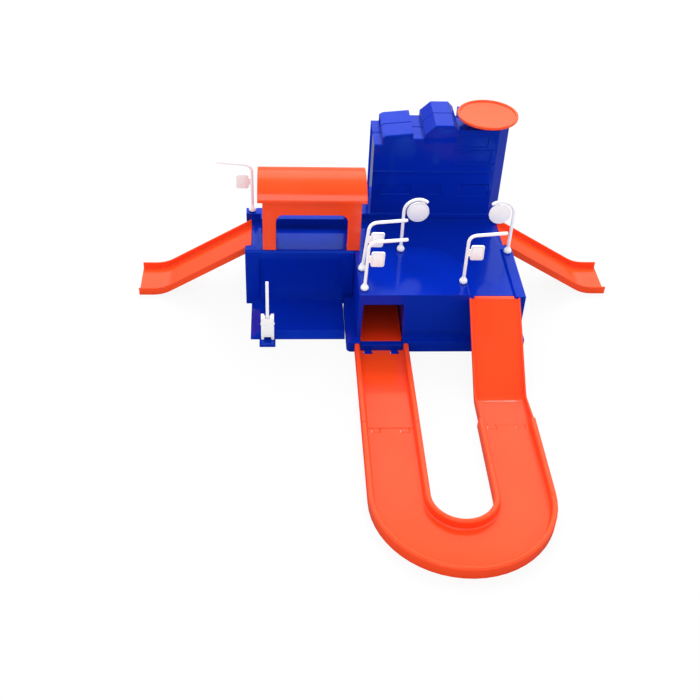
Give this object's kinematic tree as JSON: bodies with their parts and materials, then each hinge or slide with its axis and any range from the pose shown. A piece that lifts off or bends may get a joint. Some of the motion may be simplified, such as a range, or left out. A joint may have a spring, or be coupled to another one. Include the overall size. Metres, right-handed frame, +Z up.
{
  "type": "toy garage",
  "caption": "Toy parking garage for small cars: raised deck with tunnel, parking bay, canopy, skyline with landing pad, ramps, track loop, signs and a lifting barrier.",
  "frame": {"origin": "middle of the whole toy's footprint, on the ground", "axes": "+X to the right seen from the track loop's side, +Y to the skyline at the back, +Z up"},
  "size_m": [0.4598, 0.4382, 0.1697],
  "materials": {
    "blue_plastic": "satin moulded plastic",
    "orange_plastic": "satin moulded plastic",
    "light_orange_plastic": "satin moulded plastic",
    "white_plastic": "satin moulded plastic",
    "grey_label": "blank printed film"
  },
  "bodies": {
    "garage": {"garage_block": "blue_plastic", "parking_block": "blue_plastic", "skyline_front": "blue_plastic", "skyline_back": "blue_plastic", "canopy": "orange_plastic", "left_ramp": "orange_plastic", "right_ramp": "orange_plastic", "front_ramp": "orange_plastic", "tunnel_chute": "orange_plastic", "straight_track": "orange_plastic", "bent_track": "orange_plastic", "barrier_housing": "white_plastic", "barrier_pin": "white_plastic"},
    "barrier": {"barrier_arm": "white_plastic"},
    "landing_pad": {"landing_pad": "light_orange_plastic"},
    "deck_side_sign": {"deck_side_sign": "white_plastic", "deck_side_sign_label": "grey_label"},
    "deck_corner_sign": {"deck_corner_sign": "white_plastic", "deck_corner_sign_label": "grey_label"},
    "ramp_top_sign": {"ramp_top_sign": "white_plastic", "ramp_top_sign_label": "grey_label"},
    "parking_sign": {"parking_sign": "white_plastic", "parking_sign_label": "grey_label"},
    "deck_mirror": {"deck_mirror": "white_plastic", "deck_mirror_label": "grey_label"},
    "kerb_mirror": {"kerb_mirror": "white_plastic", "kerb_mirror_label": "grey_label"}
  },
  "joints": [
    {"name": "barrier_lift", "type": "hinge", "parent": "garage", "child": "barrier", "pos_m": [-0.10525, 0.05557, 0.019], "axis": [-1, 0, 0], "range_deg": [0, 88]},
    {"name": "landing_pad_turn", "type": "hinge", "parent": "garage", "child": "landing_pad", "pos_m": [0.09855, 0.17797, 0.16], "axis": [0, 0, 1], "continuous": true},
    {"name": "deck_side_sign_turn", "type": "hinge", "parent": "garage", "child": "deck_side_sign", "pos_m": [-0.01905, 0.08178, 0.0615], "axis": [0, 0, 1], "range_deg": [-25, 60]},
    {"name": "deck_corner_sign_turn", "type": "hinge", "parent": "garage", "child": "deck_corner_sign", "pos_m": [-0.01865, 0.05147, 0.0615], "axis": [0, 0, 1], "range_deg": [-180, 10]},
    {"name": "ramp_top_sign_turn", "type": "hinge", "parent": "garage", "child": "ramp_top_sign", "pos_m": [0.07145, 0.06207, 0.0615], "axis": [0, 0, 1], "continuous": true},
    {"name": "parking_sign_turn", "type": "hinge", "parent": "garage", "child": "parking_sign", "pos_m": [-0.12025, 0.17258, 0.0663], "axis": [0, 0, 1], "range_deg": [-170, 85]},
    {"name": "deck_mirror_turn", "type": "hinge", "parent": "garage", "child": "deck_mirror", "pos_m": [0.01915, 0.11267, 0.0615], "axis": [0, 0, 1], "range_deg": [-90, 90]},
    {"name": "kerb_mirror_turn", "type": "hinge", "parent": "garage", "child": "kerb_mirror", "pos_m": [0.12105, 0.11288, 0.0597], "axis": [0, 0, 1], "continuous": true}
  ]
}
